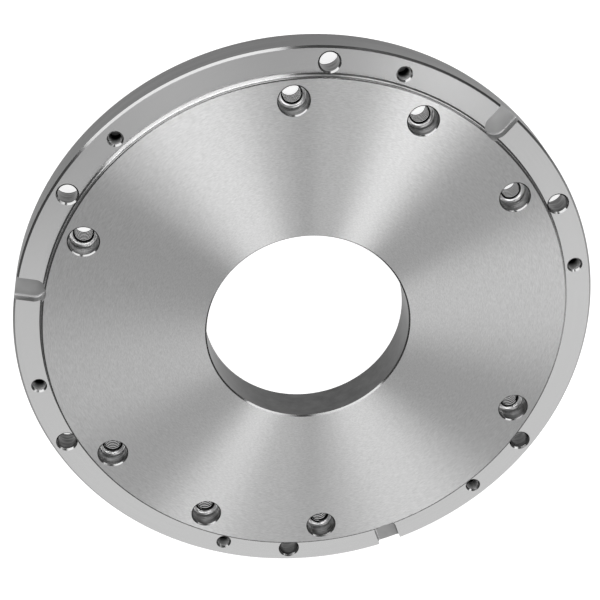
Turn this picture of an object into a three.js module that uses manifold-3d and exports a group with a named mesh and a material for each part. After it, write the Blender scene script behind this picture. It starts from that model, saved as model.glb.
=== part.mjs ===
// Adapter plate that carries a lathe chuck: one turned steel disc with a raised register
// face, a wide centre bore, screw holes on two circles and three keyway slots in the rim.
// Millimetres. The plate lies on its back face and +Z is the spindle axis.
import * as THREE from 'three';
import { mergeVertices } from 'three/addons/utils/BufferGeometryUtils.js';
import Module from 'manifold-3d';

// Plate body
const OUTER_D = 280;
const THICKNESS = 21;
const REGISTER_D = 254;
const REGISTER_H = 3.6;
const BORE_D = 98;
const EDGE_CHAMFER = 0.7;
const RIM_CHAMFER = 1;
const BACK_CHAMFER = 0.5;
const FOOT_CHAMFER = 0.9;

// Tapped holes in the register face: M10 with a wide relief at the mouth
const FACE_PCD = 232.5;
const FACE_ANGLES = [0, 30, 90, 150, 180, 210, 270, 330];
const THREAD_CORE_D = 8.6;
const RELIEF_D = 14;
const RELIEF_DEPTH = 8;
const RELIEF_CONE = 1.5;
const RELIEF_CHAMFER = 0.6;

// Screw holes in the rim: M8 clearance with a head pocket in the back face
const RIM_PCD = 265;
const CLEARANCE_ANGLES = [22.5, 82.5, 142.5, 202.5, 262.5, 322.5];
const CLEARANCE_D = 9;
const CLEARANCE_CHAMFER = 0.8;
const POCKET_D = 13.5;
const POCKET_DEPTH = 8;

// Small blind holes in the rim
const PIN_ANGLES = [7.5, 67.5, 127.5, 187.5, 247.5, 307.5];
const PIN_D = 6;
const PIN_DEPTH = 12;
const PIN_CONE = 1.8;
const PIN_CHAMFER = 0.8;

// Keyway slots across the rim, each with a round inner end
const SLOT_ANGLES = [105, 225, 345];
const SLOT_W = 11.5;
const SLOT_DEPTH = 4.5;
const SLOT_INNER_R = 125.5;

// Facets round a full turn
const BODY_SEGMENTS = 144;
const HOLE_SEGMENTS = 20;
const OVER = 1;

const wasm = await Module();
wasm.setup();

const rimZ = THICKNESS - REGISTER_H;
const steel = new THREE.MeshStandardMaterial({ color: 0xb4b7ba, metalness: 1, roughness: 0.35 });

// Turns a closed [radius, height] profile about +Z
function turned(profile, segments) {
  const points = profile.map(([r, z]) => new THREE.Vector2(r, z));
  return new THREE.LatheGeometry(points, segments).rotateX(Math.PI / 2);
}

// Moves a cutter out to a hole circle
function placed(geometry, pcd, angle) {
  return geometry.clone().translate(pcd / 2, 0, 0).rotateZ(THREE.MathUtils.degToRad(angle));
}

function toSolid(geometry) {
  const bare = new THREE.BufferGeometry();
  bare.setAttribute('position', geometry.getAttribute('position').clone());
  bare.setIndex(geometry.index ? geometry.index.clone() : null);
  const merged = mergeVertices(bare, 1e-5);
  const mesh = new wasm.Mesh({
    numProp: 3,
    vertProperties: new Float32Array(merged.getAttribute('position').array),
    triVerts: new Uint32Array(merged.index.array),
  });
  return new wasm.Manifold(mesh);
}

function toGeometry(solid) {
  const mesh = solid.getMesh();
  const geometry = new THREE.BufferGeometry();
  geometry.setAttribute('position', new THREE.BufferAttribute(mesh.vertProperties, 3));
  geometry.setIndex(new THREE.BufferAttribute(mesh.triVerts, 1));
  geometry.computeVertexNormals();
  return geometry;
}

// Turned blank: bore, register face with its chamfers, sloped foot, rim and back edge
function blankProfile() {
  const outer = OUTER_D / 2;
  const register = REGISTER_D / 2;
  const bore = BORE_D / 2;
  return [
    [bore + BACK_CHAMFER, 0],
    [outer - BACK_CHAMFER, 0],
    [outer, BACK_CHAMFER],
    [outer, rimZ - RIM_CHAMFER],
    [outer - RIM_CHAMFER, rimZ],
    [register + FOOT_CHAMFER, rimZ],
    [register, rimZ + FOOT_CHAMFER],
    [register, THICKNESS - EDGE_CHAMFER],
    [register - EDGE_CHAMFER, THICKNESS],
    [bore + EDGE_CHAMFER, THICKNESS],
    [bore, THICKNESS - EDGE_CHAMFER],
    [bore, BACK_CHAMFER],
    [bore + BACK_CHAMFER, 0],
  ];
}

// Tapped hole cutter: thread core, cone, relief and mouth chamfer
function faceHole() {
  const core = THREAD_CORE_D / 2;
  const relief = RELIEF_D / 2;
  const mouth = relief + RELIEF_CHAMFER + OVER;
  return turned([
    [0, -OVER],
    [core, -OVER],
    [core, THICKNESS - RELIEF_DEPTH - RELIEF_CONE],
    [relief, THICKNESS - RELIEF_DEPTH],
    [relief, THICKNESS - RELIEF_CHAMFER],
    [mouth, THICKNESS + OVER],
    [0, THICKNESS + OVER],
  ], HOLE_SEGMENTS);
}

// Clearance hole cutter: head pocket from the back, shank and mouth chamfer
function clearanceHole() {
  const shank = CLEARANCE_D / 2;
  const pocket = POCKET_D / 2;
  const mouth = shank + CLEARANCE_CHAMFER + OVER;
  return turned([
    [0, -OVER],
    [pocket, -OVER],
    [pocket, POCKET_DEPTH],
    [shank, POCKET_DEPTH],
    [shank, rimZ - CLEARANCE_CHAMFER],
    [mouth, rimZ + OVER],
    [0, rimZ + OVER],
  ], HOLE_SEGMENTS);
}

// Blind hole cutter: drill point, wall and mouth chamfer
function pinHole() {
  const wall = PIN_D / 2;
  const mouth = wall + PIN_CHAMFER + OVER;
  return turned([
    [0, rimZ - PIN_DEPTH - PIN_CONE],
    [wall, rimZ - PIN_DEPTH],
    [wall, rimZ - PIN_CHAMFER],
    [mouth, rimZ + OVER],
    [0, rimZ + OVER],
  ], HOLE_SEGMENTS);
}

// Slot cutter: a bar with a half-round inner end, open past the outer edge
function slotCutter() {
  const half = SLOT_W / 2;
  const outline = new THREE.Shape();
  outline.moveTo(OUTER_D / 2 + OVER, half);
  outline.lineTo(SLOT_INNER_R + half, half);
  outline.absarc(SLOT_INNER_R + half, 0, half, Math.PI / 2, Math.PI * 1.5, false);
  outline.lineTo(OUTER_D / 2 + OVER, -half);
  const depth = THICKNESS + OVER - (rimZ - SLOT_DEPTH);
  const bar = new THREE.ExtrudeGeometry(outline, { depth, bevelEnabled: false, curveSegments: 12 });
  return bar.translate(0, 0, rimZ - SLOT_DEPTH);
}

const cutters = [];
const tapped = faceHole();
FACE_ANGLES.forEach((angle) => cutters.push(placed(tapped, FACE_PCD, angle)));
const clearance = clearanceHole();
CLEARANCE_ANGLES.forEach((angle) => cutters.push(placed(clearance, RIM_PCD, angle)));
const pin = pinHole();
PIN_ANGLES.forEach((angle) => cutters.push(placed(pin, RIM_PCD, angle)));
const slot = slotCutter();
SLOT_ANGLES.forEach((angle) => cutters.push(placed(slot, 0, angle)));

let plate = toSolid(turned(blankProfile(), BODY_SEGMENTS));
cutters.forEach((cutter) => {
  plate = plate.subtract(toSolid(cutter));
});

const mesh = new THREE.Mesh(toGeometry(plate), steel);
mesh.name = 'adapter_plate';

const group = new THREE.Group();
group.name = 'chuck_adapter_plate';
group.add(mesh);

export default group;
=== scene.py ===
# %% [markdown]
# Lathe chuck adapter plate. This is the steel disc that sits between a lathe's spindle and
# the chuck: one piece of turned steel, so the whole lesson is about one lathe-made shape and
# the many ways its surface was cut. We load the engineering model first, because it fixes the
# place and the size of everything, and we work in its frame: the plate lies on its back face
# and +Z is the spindle axis. Blender's unit here is the metre, so lengths are written in
# millimetres and multiplied by MM.

# %% Load the frame
import math
import bmesh
import bpy
from mathutils import Matrix, Vector


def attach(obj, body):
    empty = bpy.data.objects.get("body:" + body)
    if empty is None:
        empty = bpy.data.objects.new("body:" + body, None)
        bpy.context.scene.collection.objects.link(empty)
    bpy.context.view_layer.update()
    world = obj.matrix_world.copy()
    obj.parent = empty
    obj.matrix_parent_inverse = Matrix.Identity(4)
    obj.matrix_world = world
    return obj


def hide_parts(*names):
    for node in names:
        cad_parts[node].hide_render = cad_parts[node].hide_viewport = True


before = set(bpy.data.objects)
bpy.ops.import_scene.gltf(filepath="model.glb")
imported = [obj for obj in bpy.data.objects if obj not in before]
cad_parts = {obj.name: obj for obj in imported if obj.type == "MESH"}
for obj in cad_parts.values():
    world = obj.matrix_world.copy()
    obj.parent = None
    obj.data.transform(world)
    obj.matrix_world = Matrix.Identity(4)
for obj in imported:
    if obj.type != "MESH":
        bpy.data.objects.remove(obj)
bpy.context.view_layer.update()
MM = 0.001


# %% [markdown]
# Three small helpers serve every material. Colours are picked as sRGB hex values, the numbers
# a paint chart shows, and turned to the linear values that light is computed with. The second
# helper starts a material with an empty node tree. The third adds one shader node with its
# settings and links, so each material reads as a list. It takes an input by its name, or by
# its number after an underscore where names repeat.

# %% Colour and node helpers
def linear(hex_colour):
    channels = [int(hex_colour[i:i + 2], 16) / 255 for i in (0, 2, 4)]
    return [c / 12.92 if c <= 0.04045 else ((c + 0.055) / 1.055) ** 2.4 for c in channels] + [1]


def empty_material(name):
    material = bpy.data.materials.new(name)
    material.use_nodes = True
    material.node_tree.nodes.clear()
    return material


def add(tree, kind, settings=None, **inputs):
    """One node: settings are its own fields, inputs are socket values or sockets to link."""
    made = tree.nodes.new(kind)
    for field, value in (settings or {}).items():
        setattr(made, field, value)
    for name, value in inputs.items():
        key = int(name[1:]) if name[0] == "_" and name[1:].isdigit() else name.replace("_", " ")
        if isinstance(value, bpy.types.NodeSocket):
            tree.links.new(value, made.inputs[key])
        else:
            made.inputs[key].default_value = value
    return made


print("cecece in linear light is", [round(c, 2) for c in linear("cecece")[:3]])


# %% [markdown]
# A lathe leaves tool marks that run round the axis, so the metal is smooth along the marks and
# rough across them. Light then spreads along each radius, which is why a faced plate shows
# bright fans that cross in its centre. Blender calls this anisotropy: a tangent that circles Z
# says which way the marks run, and a quarter turn lays the spread across them. The marks are
# also drawn, as noise that is stretched round the axis: it reads the direction from the centre
# slowly and the radius quickly. streak_mm says how long a mark is and line_mm how wide.

# %% Turned steel
STREAK_RADIUS = 90


def turned_steel(name, colour, rough, smear, grain, streak_mm, line_mm, bump_mm):
    """Steel cut on a lathe; a streak has its stated length at STREAK_RADIUS mm from the axis."""
    material = empty_material(name)
    tree = material.node_tree
    coords = add(tree, "ShaderNodeTexCoord").outputs["Object"]
    parts = add(tree, "ShaderNodeSeparateXYZ", _0=coords).outputs
    flat = add(tree, "ShaderNodeCombineXYZ", X=parts["X"], Y=parts["Y"]).outputs[0]
    radius = add(tree, "ShaderNodeVectorMath", {"operation": "LENGTH"}, _0=flat).outputs["Value"]
    heading = add(tree, "ShaderNodeVectorMath", {"operation": "NORMALIZE"}, _0=flat).outputs[0]
    around = add(tree, "ShaderNodeVectorMath", {"operation": "SCALE"}, _0=heading,
                 Scale=STREAK_RADIUS / streak_mm).outputs[0]
    level = add(tree, "ShaderNodeMath", {"operation": "ADD"}, _0=radius, _1=parts["Z"]).outputs[0]
    across = add(tree, "ShaderNodeMath", {"operation": "MULTIPLY"}, _0=level,
                 _1=1 / (line_mm * MM)).outputs[0]
    spread = add(tree, "ShaderNodeSeparateXYZ", _0=around).outputs
    marks = add(tree, "ShaderNodeCombineXYZ", X=spread["X"], Y=spread["Y"], Z=across).outputs[0]
    noise = add(tree, "ShaderNodeTexNoise", Vector=marks, Scale=1.0, Detail=3.0,
                Roughness=0.7).outputs["Fac"]
    shade = add(tree, "ShaderNodeMapRange", Value=noise, From_Min=0.25, From_Max=0.75,
                To_Min=1 - grain, To_Max=1 + grain).outputs[0]
    tint = add(tree, "ShaderNodeVectorMath", {"operation": "SCALE"}, _0=linear(colour)[:3],
               Scale=shade).outputs[0]
    relief = add(tree, "ShaderNodeBump", Height=noise, Distance=bump_mm * MM).outputs[0]
    turning = add(tree, "ShaderNodeTangent", {"direction_type": "RADIAL", "axis": "Z"}).outputs[0]
    metal = add(tree, "ShaderNodeBsdfPrincipled", Base_Color=tint, Metallic=1.0,
                Roughness=rough, Anisotropic=smear, Anisotropic_Rotation=0.25,
                Normal=relief, Tangent=turning)
    add(tree, "ShaderNodeOutputMaterial", Surface=metal.outputs[0])
    return material


# The register's face, cut at an even feed: satin, with its light in fans. Real marks lie 0.1 to
# 0.2 mm apart, too fine to show, so they are drawn 0.45 mm wide.
faced = turned_steel("faced steel", "cecece", rough=0.40, smear=1.0, grain=0.16,
                     streak_mm=1.8, line_mm=0.45, bump_mm=0.003)
# The rim, cut at a finer feed: smoother and quieter than the face.
fine_turned = turned_steel("fine turned steel", "cfcfcf", rough=0.24, smear=0.6, grain=0.02,
                           streak_mm=30, line_mm=0.8, bump_mm=0.001)
# The wall of the step: a pale satin line.
step_turned = turned_steel("turned step steel", "d8d8d8", rough=0.42, smear=1.0, grain=0.04,
                           streak_mm=30, line_mm=0.8, bump_mm=0.001)
# The outer wall: dull, with long broad streaks. In a workshop it would mirror a dark room. The
# pale room here has nothing dark to mirror, so the steel itself is darker than the real one.
dull_turned = turned_steel("dull turned steel", "575757", rough=0.40, smear=0.6, grain=0.25,
                           streak_mm=60, line_mm=5, bump_mm=0.001)
# The bore, cut with a long bar that shivers a little: short broad marks, dark for the same
# reason as the outer wall.
bored = turned_steel("bored steel", "484848", rough=0.34, smear=0.5, grain=0.25,
                     streak_mm=14, line_mm=5, bump_mm=0.001)
# Chamfers and rounded edges: thin mirrors, white where they see a lamp and dark elsewhere. Their
# colour is darker than the steel's own, a painted dark reflection, as on the outer wall.
chamfered = turned_steel("chamfered steel", "727272", rough=0.16, smear=0.3, grain=0.02,
                         streak_mm=30, line_mm=0.8, bump_mm=0.0)
# The back: an even satin.
back_faced = turned_steel("back faced steel", "bdbdbd", rough=0.40, smear=0.8, grain=0.06,
                          streak_mm=5, line_mm=0.6, bump_mm=0.002)
print(len(bpy.data.materials), "materials after turning")


# %% [markdown]
# Drills and taps turn on the spot, so they leave rings that stack up the hole. Every hole here
# stands upright, so the rings can be drawn by noise that changes fast with height and slowly
# sideways. They vary both the colour and the polish. Some holes also get painted shade: their
# colour darkens little by little from an unshaded height towards a fully shaded one.

# %% Cut steel
SIDEWAYS = 0.15
POLISH_SPREAD = 0.05
NO_PAINTED_SHADE = (-1.0, 0.0, 1.0)


def cut_steel(name, colour, rough, ring_mm, contrast, painted_shade=NO_PAINTED_SHADE):
    """Steel with rings up a hole; the last argument gives the height of full painted shade, the
    unshaded height and how dark.
    """
    shaded_mm, unshaded_mm, darkness = painted_shade
    material = empty_material(name)
    tree = material.node_tree
    coords = add(tree, "ShaderNodeTexCoord").outputs["Object"]
    rings = 1 / (ring_mm * MM)
    stacked = add(tree, "ShaderNodeMapping", Vector=coords,
                  Scale=(SIDEWAYS * rings, SIDEWAYS * rings, rings)).outputs[0]
    noise = add(tree, "ShaderNodeTexNoise", Vector=stacked, Scale=1.0, Detail=3.0,
                Roughness=0.6).outputs["Fac"]
    shade = add(tree, "ShaderNodeMapRange", Value=noise, From_Min=0.38, From_Max=0.62,
                To_Min=1 - contrast, To_Max=1 + contrast).outputs[0]
    height = add(tree, "ShaderNodeSeparateXYZ", _0=coords).outputs["Z"]
    # Painted shade: darkens the colour with height, fully at one given height and not at all at
    # another.
    painted_shade_ramp = add(tree, "ShaderNodeMapRange", {"interpolation_type": "SMOOTHSTEP"}, Value=height,
              From_Min=shaded_mm * MM, From_Max=unshaded_mm * MM, To_Min=darkness, To_Max=1.0).outputs[0]
    ringed_and_shaded = add(tree, "ShaderNodeMath", {"operation": "MULTIPLY"}, _0=shade, _1=painted_shade_ramp).outputs[0]
    tint = add(tree, "ShaderNodeVectorMath", {"operation": "SCALE"}, _0=linear(colour)[:3],
               Scale=ringed_and_shaded).outputs[0]
    polish = add(tree, "ShaderNodeMapRange", Value=noise, From_Min=0.3, From_Max=0.7,
                 To_Min=rough - POLISH_SPREAD, To_Max=rough + POLISH_SPREAD).outputs[0]
    metal = add(tree, "ShaderNodeBsdfPrincipled", Base_Color=tint, Metallic=1.0, Roughness=polish)
    add(tree, "ShaderNodeOutputMaterial", Surface=metal.outputs[0])
    return material


# Drilled steel: light and dark rings. A drill's own rings are too fine to show, so they are
# drawn 1.5 mm apart.
drilled = cut_steel("drilled steel", "c0c0c0", rough=0.30, ring_mm=1.5, contrast=0.45)
# Walls of holes that go right through: darker, painted shade against the bright table that shines
# up into them.
through = cut_steel("drilled through steel", "606060", rough=0.32, ring_mm=1.5, contrast=0.5)
# The small blind holes: a coarse wall that catches light at its mouth, with painted shade, black,
# below.
coarse_drilled = cut_steel("coarse drilled steel", "f4f4f4", rough=0.62, ring_mm=1.5,
                           contrast=0.03, painted_shade=(9.0, 13.5, 0.03))
# The wide reliefs over the threads: full colour at the bottom and painted shade towards the mouth.
counterbored = cut_steel("counterbored steel", "cccccc", rough=0.30, ring_mm=1.2, contrast=0.35,
                         painted_shade=(20.0, 14.5, 0.45))
# The slots: the even dull grey that an end mill leaves.
milled = cut_steel("milled steel", "a4a4a4", rough=0.50, ring_mm=3, contrast=0.12)
# Thread crests in pale steel, and flanks between them painted near black as shade: together they
# read as rings.
crest = cut_steel("thread crest steel", "d8d8d8", rough=0.24, ring_mm=1.5, contrast=0.05)
flank = cut_steel("thread flank steel", "181818", rough=0.35, ring_mm=1.5, contrast=0.05)

FINISHES = [faced, fine_turned, step_turned, dull_turned, bored, chamfered, back_faced, drilled,
            through, coarse_drilled, milled, counterbored]
(FACE, RIM, STEP, WALL, BORED, CHAMFER, BACK, DRILLED, THROUGH, COARSE, MILLED,
 COUNTERBORED) = range(len(FINISHES))
print(len(FINISHES), "finishes for the plate and 2 for its threads")

# %% [markdown]
# These are the plate's sizes in millimetres: a disc, a raised register face that centres the
# chuck, and a wide bore. They are the engineering model's sizes. Only the register's edge and
# its foot are eased a little differently here, because a softened edge shows as a soft line.

# %% Sizes of the plate
OUTER = 140
THICK = 21
REGISTER = 127
REGISTER_H = 3.6
BORE = 49
BORE_EDGE = 0.7
RIM_EDGE = 1.0
BACK_EDGE = 0.5
FOOT = 0.7
ROUND = 1.0
SUPPORT = 0.2
RIM_Z = THICK - REGISTER_H
STEPS = 288
print("rim at", RIM_Z, "mm and register at", THICK, "mm above the back")


# %% [markdown]
# A turned shape is a profile swept round an axis, exactly as the tool saw it. The profile is a
# closed string of corners: each has a radius, a height and the finish of the stretch that
# starts there. Spin sweeps the string all the way round and merges the last copy onto the
# first, and a face then takes the finish of the stretch that it lies on. Spin makes corners and
# faces in an order that changes from run to run, so they are sorted afterwards. With a climb,
# the same function winds a helix, which isn't merged because its ends don't meet.

# %% Spin a profile
def finish_at(r, z, profile):
    """The finish of the stretch nearest to a point of the profile."""
    best = (math.inf, 0)
    for i, (r0, z0, finish) in enumerate(profile):
        r1, z1, _ = profile[(i + 1) % len(profile)]
        length = math.hypot(r1 - r0, z1 - z0)
        t = max(0, min(1, ((r - r0) * (r1 - r0) + (z - z0) * (z1 - z0)) / length ** 2))
        gap = math.hypot(r - r0 - t * (r1 - r0), z - z0 - t * (z1 - z0))
        best = min(best, (gap, finish))
    return best[1]


def put_in_order(bm):
    """Sorts corners and faces by their place, so that every run comes out alike."""
    for items, place in ((bm.verts, lambda v: v.co), (bm.faces, lambda f: f.calc_center_median())):
        in_order = sorted(items, key=lambda item: tuple(round(x, 7) for x in place(item)))
        for i, item in enumerate(in_order):
            item.index = i
        items.sort()


def spun(profile, steps, turn=2 * math.pi, climb=0.0):
    """A closed string of (radius, height, finish) corners in mm, swept about Z."""
    bm = bmesh.new()
    verts = [bm.verts.new((r * MM, 0, z * MM)) for r, z, _ in profile]
    edges = [bm.edges.new((verts[i], verts[(i + 1) % len(verts)])) for i in range(len(verts))]
    bmesh.ops.spin(bm, geom=verts + edges, cent=(0, 0, 0), axis=(0, 0, 1), angle=turn,
                   steps=steps, dvec=(0, 0, climb * MM / steps), use_merge=climb == 0.0)
    bmesh.ops.remove_doubles(bm, verts=bm.verts, dist=1e-7)
    put_in_order(bm)
    for face in bm.faces:
        middle = face.calc_center_median()
        face.material_index = finish_at(math.hypot(middle.x, middle.y) / MM, middle.z / MM, profile)
    bmesh.ops.recalc_face_normals(bm, faces=bm.faces)
    return bm


def arc(r, z, radius, first, last, finish):
    """Corners every 15 degrees round (r, z), up to last; 0 degrees is outwards and 90 is up."""
    return [(r + radius * math.cos(math.radians(a)), z + radius * math.sin(math.radians(a)), finish)
            for a in range(first, last, 15)]


# %% [markdown]
# The blank is the plate before any hole is drilled. Its edges matter more than their size
# suggests: each chamfer is a thin mirror that shows as a white or a black line. The register's
# edge is rounded instead, with a short straight stretch kept on each side of the arc so that
# its shading stays in the edge, and a slope joins the register's foot to the rim.

# %% Turn the blank
blank_profile = [
    (BORE + BACK_EDGE, 0, BACK), (OUTER - BACK_EDGE, 0, CHAMFER), (OUTER, BACK_EDGE, WALL),
    (OUTER, RIM_Z - RIM_EDGE, CHAMFER), (OUTER - RIM_EDGE, RIM_Z, RIM),
    (REGISTER + FOOT, RIM_Z, CHAMFER), (REGISTER, RIM_Z + FOOT, STEP),
    (REGISTER, THICK - ROUND - SUPPORT, STEP)]
blank_profile += arc(REGISTER - ROUND, THICK - ROUND, ROUND, 0, 90, CHAMFER)
blank_profile += [
    (REGISTER - ROUND, THICK, FACE), (REGISTER - ROUND - SUPPORT, THICK, FACE),
    (BORE + BORE_EDGE, THICK, CHAMFER), (BORE, THICK - BORE_EDGE, BORED), (BORE, BACK_EDGE, CHAMFER)]
blank = spun(blank_profile, STEPS)
print("blank", len(blank.faces), "faces")

# %% [markdown]
# Holes are made the way a machinist makes them: by the shape of the tool. Each cutter is a
# spun solid, copied to its place on the hole circle, and it runs a little past the surface that
# it enters by. A tapped hole starts with a wide relief whose floor rounds down into the thread.
# A clearance hole has a pocket for the screw head in the back. A pin hole is blind and ends in
# the drill's point.

# %% Hole cutters
FACE_CIRCLE = 116.25
RIM_CIRCLE = 132.5
FACE_ANGLES = (0, 30, 90, 150, 180, 210, 270, 330)
CLEARANCE_ANGLES = tuple(22.5 + 60 * i for i in range(6))
PIN_ANGLES = tuple(7.5 + 60 * i for i in range(6))
PAST = 1
THREAD_OUTER = 5.0
RELIEF = 7.0
RELIEF_DEPTH = 9.1
RELIEF_ROUND = 1.9
FACE_MOUTH = 0.6
RIM_MOUTH = 0.8
CLEARANCE = 4.5
HEAD_POCKET = 6.75
HEAD_POCKET_H = 8
PIN_HOLE = 3.0
PIN_DEPTH = 12
DRILL_POINT = 1.8
relief_z = THICK - RELIEF_DEPTH
pin_z = RIM_Z - PIN_DEPTH

tap_profile = [
    (0, -PAST, DRILLED), (THREAD_OUTER, -PAST, THROUGH), (THREAD_OUTER, relief_z, DRILLED)]
tap_profile += arc(RELIEF - RELIEF_ROUND, relief_z + RELIEF_ROUND, RELIEF_ROUND, -90, 15, COUNTERBORED)
tap_profile += [
    (RELIEF, THICK - FACE_MOUTH, CHAMFER), (RELIEF + FACE_MOUTH + PAST, THICK + PAST, DRILLED),
    (0, THICK + PAST, DRILLED)]
clear_profile = [
    (0, -PAST, DRILLED), (HEAD_POCKET, -PAST, THROUGH), (HEAD_POCKET, HEAD_POCKET_H, THROUGH),
    (CLEARANCE, HEAD_POCKET_H, THROUGH), (CLEARANCE, RIM_Z - RIM_MOUTH, CHAMFER),
    (CLEARANCE + RIM_MOUTH, RIM_Z, CHAMFER), (CLEARANCE + RIM_MOUTH, RIM_Z + PAST, DRILLED),
    (0, RIM_Z + PAST, DRILLED)]
pin_profile = [
    (0, pin_z - DRILL_POINT, BORED), (PIN_HOLE, pin_z, COARSE), (PIN_HOLE, RIM_Z - RIM_MOUTH, CHAMFER),
    (PIN_HOLE + RIM_MOUTH + PAST, RIM_Z + PAST, DRILLED), (0, RIM_Z + PAST, DRILLED)]


def on_circle(bm, circle, angle):
    """Moves a tool out to its hole circle and round to its angle."""
    bmesh.ops.translate(bm, verts=bm.verts, vec=(circle * MM, 0, 0))
    bmesh.ops.rotate(bm, verts=bm.verts, cent=(0, 0, 0),
                     matrix=Matrix.Rotation(math.radians(angle), 3, "Z"))
    return bm


def gathered(meshes):
    """Many small solids in one bmesh."""
    whole = bmesh.new()
    for bm in meshes:
        spare = bpy.data.meshes.new("spare")
        bm.to_mesh(spare)
        whole.from_mesh(spare)
        bm.free()
        bpy.data.meshes.remove(spare)
    return whole


tools = [on_circle(spun(tap_profile, 48), FACE_CIRCLE, a) for a in FACE_ANGLES]
tools += [on_circle(spun(clear_profile, 48), RIM_CIRCLE, a) for a in CLEARANCE_ANGLES]
tools += [on_circle(spun(pin_profile, 40), RIM_CIRCLE, a) for a in PIN_ANGLES]
print(len(tools), "hole cutters")

# %% [markdown]
# A keyway slot is the path of an end mill fed in from the edge, so it is as wide as the mill,
# half round at its inner end, and has a small radius in its corners where the mill's tip is
# worn or ground round. The cutter starts as a circle whose outer half is pulled out past the
# rim, then is raised to a solid whose bottom edge is bevelled.

# %% Slot cutters
SLOT_ANGLES = (105, 225, 345)
SLOT_HALF = 5.75
SLOT_DEPTH = 4.5
SLOT_INNER = 125.5
SLOT_CORNER = 1.2
SLOT_RUN = 20
SLOT_RISE = 12


def slot_cutter():
    bm = bmesh.new()
    bmesh.ops.create_circle(bm, cap_ends=True, segments=48, radius=SLOT_HALF * MM)
    outer = [v for v in bm.verts if v.co.x > 1e-6]
    bmesh.ops.translate(bm, verts=outer, vec=(SLOT_RUN * MM, 0, 0))
    lifted = bmesh.ops.extrude_face_region(bm, geom=list(bm.faces))["geom"]
    top = [g for g in lifted if isinstance(g, bmesh.types.BMVert)]
    bmesh.ops.translate(bm, verts=top, vec=(0, 0, SLOT_RISE * MM))
    bmesh.ops.recalc_face_normals(bm, faces=bm.faces)
    put_in_order(bm)
    low = [e for e in bm.edges if all(abs(v.co.z) < 1e-7 for v in e.verts)]
    bmesh.ops.bevel(bm, geom=low, offset=SLOT_CORNER * MM, offset_type="OFFSET", affect="EDGES",
                    segments=6, profile=0.5, material=-1)
    for face in bm.faces:
        face.material_index = MILLED
    bmesh.ops.translate(bm, verts=bm.verts,
                        vec=((SLOT_INNER + SLOT_HALF) * MM, 0, (RIM_Z - SLOT_DEPTH) * MM))
    return bm


tools += [on_circle(slot_cutter(), 0, a) for a in SLOT_ANGLES]
print(len(SLOT_ANGLES), "slot cutters,", 2 * SLOT_HALF, "mm wide")


# %% [markdown]
# A Boolean modifier takes the tools away from the blank, and its result is kept as plain mesh.
# Faces cut by a tool keep that tool's finish. Edges sharper than 20 degrees stay crisp and all
# other faces shade smooth, so a wall made of flat strips reads as round.

# %% Cut the plate
def as_object(name, bm, finishes):
    mesh = bpy.data.meshes.new(name)
    bm.to_mesh(mesh)
    bm.free()
    for finish in finishes:
        mesh.materials.append(finish)
    made = bpy.data.objects.new(name, mesh)
    bpy.context.scene.collection.objects.link(made)
    return made


def crisp(mesh, degrees):
    """Shades a mesh smooth, apart from edges that turn by more than this."""
    bm = bmesh.new()
    bm.from_mesh(mesh)
    for face in bm.faces:
        face.smooth = True
    for edge in bm.edges:
        edge.smooth = len(edge.link_faces) == 2 and edge.calc_face_angle(0) < math.radians(degrees)
    bm.to_mesh(mesh)
    bm.free()


plate = as_object("adapter_plate_turned", blank, FINISHES)
cutter = as_object("cutters", gathered(tools), FINISHES)
cut = plate.modifiers.new("holes", "BOOLEAN")
cut.operation = "DIFFERENCE"
cut.solver = "EXACT"
cut.object = cutter
bpy.context.view_layer.update()
evaluated = plate.evaluated_get(bpy.context.evaluated_depsgraph_get())
drilled_mesh = bpy.data.meshes.new_from_object(evaluated)
plate.modifiers.clear()
plate.data = drilled_mesh
bpy.data.objects.remove(cutter)
crisp(plate.data, 20)
print("plate", len(plate.data.vertices), "vertices,", len(plate.data.polygons), "faces")

# %% [markdown]
# The screw threads are real helices. A thread is a ridge of metal wound up the hole, so its
# cross-section is spun with a climb of one pitch for each turn. Its foot is sunk a little into
# the wall, so no gap shows. Its narrow crest is bright and its flanks are painted dark, as shade.

# %% Wind the threads
THREAD_INNER = 4.3
PITCH = 1.5
SUNK = 0.15
CREST_HALF = 0.25
TURNS = 7
STEPS_A_TURN = 36
THREAD_START = 0.72
CREST, FLANK = 0, 1


def thread():
    half = PITCH / 2
    foot = THREAD_OUTER + SUNK
    ridge = [(foot, -half * 0.9, FLANK), (foot, half * 0.9, FLANK), (THREAD_OUTER, half * 0.88, FLANK),
             (THREAD_INNER, CREST_HALF, CREST), (THREAD_INNER, -CREST_HALF, FLANK),
             (THREAD_OUTER, -half * 0.88, FLANK)]
    bm = spun(ridge, STEPS_A_TURN * TURNS, turn=TURNS * 2 * math.pi, climb=PITCH * TURNS)
    bmesh.ops.holes_fill(bm, edges=[e for e in bm.edges if e.is_boundary], sides=0)
    bmesh.ops.recalc_face_normals(bm, faces=bm.faces)
    # spun finds a finish by height, which a climb upsets, so the crest is found by its radius.
    for face in bm.faces:
        middle = face.calc_center_median()
        on_crest = math.hypot(middle.x, middle.y) < (THREAD_INNER + 0.1) * MM
        face.material_index = CREST if on_crest else FLANK
    bmesh.ops.translate(bm, verts=bm.verts, vec=(0, 0, THREAD_START * MM))
    return bm


wound = gathered([on_circle(thread(), FACE_CIRCLE, a) for a in FACE_ANGLES])
threads = as_object("m10_threads", wound, [crest, flank])
crisp(threads.data, 25)
print("threads", len(threads.data.polygons), "faces")

# %% [markdown]
# Both pieces ride on the plate's one body and stand in for its faceted solid.

# %% Tie the pieces to the frame
for piece in (plate, threads):
    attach(piece, "root")
    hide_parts("adapter_plate")
print("tied", plate.name, "and", threads.name)

# %% [markdown]
# The plate lies on a plain pale table, which is set a hair lower so that the two surfaces don't
# fight. The table glows a little, which keeps it white where it shows through the holes. The
# camera stands above and to one side with a longish lens, and it is rolled so that the plate
# leans across the picture.

# %% Floor and camera
TABLE_HALF = 6000
HAIR = 0.3

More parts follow.
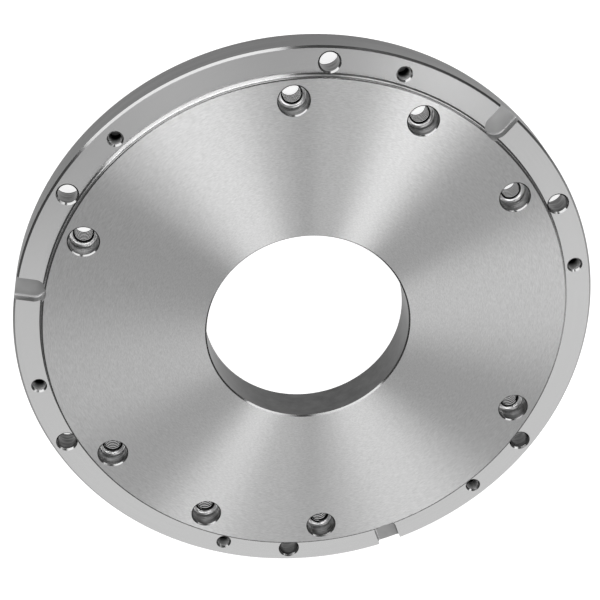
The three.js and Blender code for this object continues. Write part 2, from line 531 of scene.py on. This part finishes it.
bm = bmesh.new()
bmesh.ops.create_grid(bm, x_segments=1, y_segments=1, size=TABLE_HALF * MM)
bmesh.ops.translate(bm, verts=bm.verts, vec=(0, 0, -HAIR * MM))
pale = empty_material("pale table")
paint = add(pale.node_tree, "ShaderNodeBsdfPrincipled", Base_Color=linear("c0c0c0"), Roughness=0.9,
            Emission_Color=(1, 1, 1, 1), Emission_Strength=0.85)
add(pale.node_tree, "ShaderNodeOutputMaterial", Surface=paint.outputs[0])
table = as_object("table", bm, [pale])

lens = bpy.data.cameras.new("camera")
lens.lens = 91.46
lens.sensor_width = 36
camera = bpy.data.objects.new("camera", lens)
camera.location = (0.28065, 0.22925, 0.65767)
camera.rotation_euler = [math.radians(v) for v in (-27.789, -6.706, -63.347)]
bpy.context.scene.collection.objects.link(camera)
bpy.context.scene.camera = camera
print("camera", round(camera.location.length, 2), "m from the middle of the plate")

# %% [markdown]
# Soft studio light: an even pale surround for the body of the steel, and soft boxes that the
# tool marks smear into fans. The high boxes make the fans. The two low ones, in front, are what
# the chamfers mirror as white lines. Each box is placed by its direction from the plate.

# %% Light
world = bpy.data.worlds.new("studio")
bpy.context.scene.world = world
world.use_nodes = True
surround = world.node_tree.nodes["Background"]
surround.inputs["Color"].default_value = (1, 1, 1, 1)
surround.inputs["Strength"].default_value = 0.235


def soft_box(name, heading, height, along, size, power, distance=1.6):
    """A light at a compass heading and height in degrees; along is the heading its length runs."""
    light = bpy.data.lights.new(name, "AREA")
    light.shape = "RECTANGLE"
    light.size, light.size_y = size
    light.energy = power
    made = bpy.data.objects.new(name, light)
    h, e, a = math.radians(heading), math.radians(height), math.radians(along)
    away = Vector((math.cos(h) * math.cos(e), math.sin(h) * math.cos(e), math.sin(e)))
    run = Vector((math.cos(a), math.sin(a), 0))
    run = (run - away * run.dot(away)).normalized()
    made.matrix_world = Matrix((run.cross(away), run, away)).transposed().to_4x4()
    made.location = away * distance
    bpy.context.scene.collection.objects.link(made)


soft_box("key", 86, 78, 52, (0.39, 0.24), 2.0, 1.4)
soft_box("fill", 305.7, 68.2, 1, (0.2, 0.28), 1.32, 1.2)
soft_box("side", 269, 32, 305, (0.9, 0.5), 4.2)
soft_box("wide", 218, 46, 218, (1.5, 1.5), 4.6)
soft_box("glint", 349, 74, 22, (0.07, 0.07), 0.5, 1.4)
soft_box("front", 58, 25, 148, (0.75, 1.85), 21)
soft_box("front corner", 346, 27, 76, (0.3, 1.16), 5.6)
bpy.context.scene.view_settings.view_transform = "Standard"
print(len(bpy.data.lights), "soft boxes")
